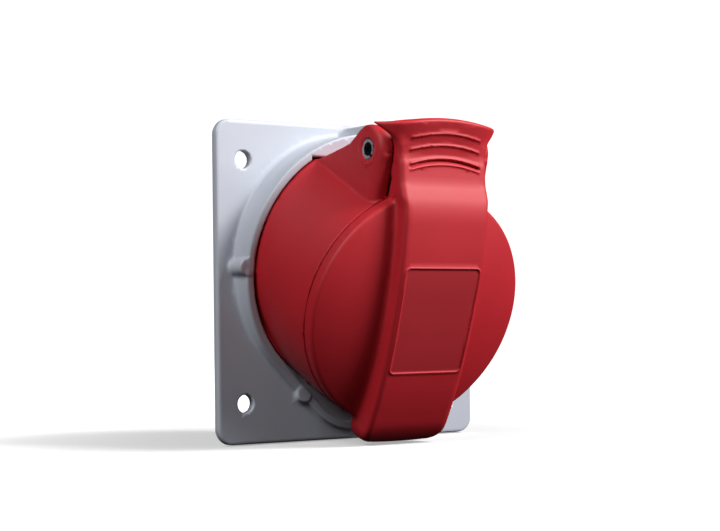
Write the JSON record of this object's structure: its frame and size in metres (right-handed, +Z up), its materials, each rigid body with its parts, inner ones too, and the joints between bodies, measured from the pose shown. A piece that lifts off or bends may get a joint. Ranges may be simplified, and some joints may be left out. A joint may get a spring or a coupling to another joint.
{
  "type": "industrial panel socket",
  "caption": "Angled industrial panel socket with a square flange, round collar and a sprung hinged lid with a thumb tab.",
  "frame": {"origin": "centre of the flange's mounting face, midway between the four fixing holes", "axes": "-Y out of the panel towards the user, +Y behind the panel, +Z up, +X to the viewer's right"},
  "size_m": [0.096, 0.0947, 0.1],
  "materials": {
    "red_plastic": "satin",
    "grey_plastic": "satin",
    "black_plastic": "satin",
    "dark_grey_plastic": "satin",
    "brass": "machined",
    "steel": "zinc plated",
    "rubber": "matte"
  },
  "bodies": {
    "socket": {"mounting_flange": "grey_plastic", "flange_gasket": "rubber", "socket_housing": "red_plastic", "housing_seal": "rubber", "housing_screws": "steel", "hinge_pin": "steel", "lid_spring": "steel", "contact_carrier": "black_plastic", "carrier_seal": "rubber", "terminal_block": "dark_grey_plastic", "block_screws": "steel", "contact_l1": "brass", "contact_l2": "brass", "contact_l3": "brass", "contact_neutral": "brass", "contact_earth": "brass", "terminal_screws": "steel", "earth_screw": "steel", "contact_springs": "steel", "earth_contact_spring": "steel"},
    "lid": {"lid": "red_plastic", "lid_seal": "rubber"}
  },
  "joints": [
    {"name": "lid_hinge", "type": "hinge", "parent": "socket", "child": "lid", "pos_m": [0, -0.04439, 0.03759], "axis": [-1, 0, 0], "range_deg": [0, 95], "stiffness_Nm_per_rad": 0.08, "springref_deg": -51.57}
  ]
}
